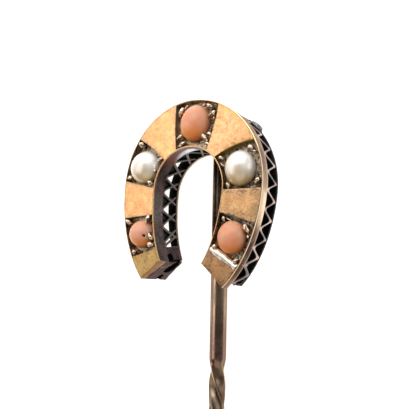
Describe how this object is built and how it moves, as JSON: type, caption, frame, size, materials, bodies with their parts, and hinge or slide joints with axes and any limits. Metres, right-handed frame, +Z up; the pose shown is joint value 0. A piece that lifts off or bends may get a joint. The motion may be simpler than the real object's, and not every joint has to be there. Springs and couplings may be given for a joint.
{
  "type": "stick pin",
  "caption": "Horseshoe stick pin: a slim box-built horseshoe with a pierced zigzag gallery, set with corals and half pearls, on a long pointed wire stem with a twisted stretch.",
  "frame": {"origin": "centre of the bounding box in X and Y, at the level of the surface that the pin lies on", "axes": "+Y along the stem from the point towards the head, +Z up from the surface, which the front of the head faces"},
  "size_m": [0.0102, 0.0626, 0.0064],
  "materials": {
    "gold": "brushed gold with dark polished recesses",
    "coral": "polished",
    "pearl": "pearly"
  },
  "bodies": {
    "root": {"pin_body": "gold", "coral_top": "coral", "pearl_left": "pearl", "pearl_right": "pearl", "coral_left": "coral", "coral_right": "coral"}
  },
  "joints": []
}
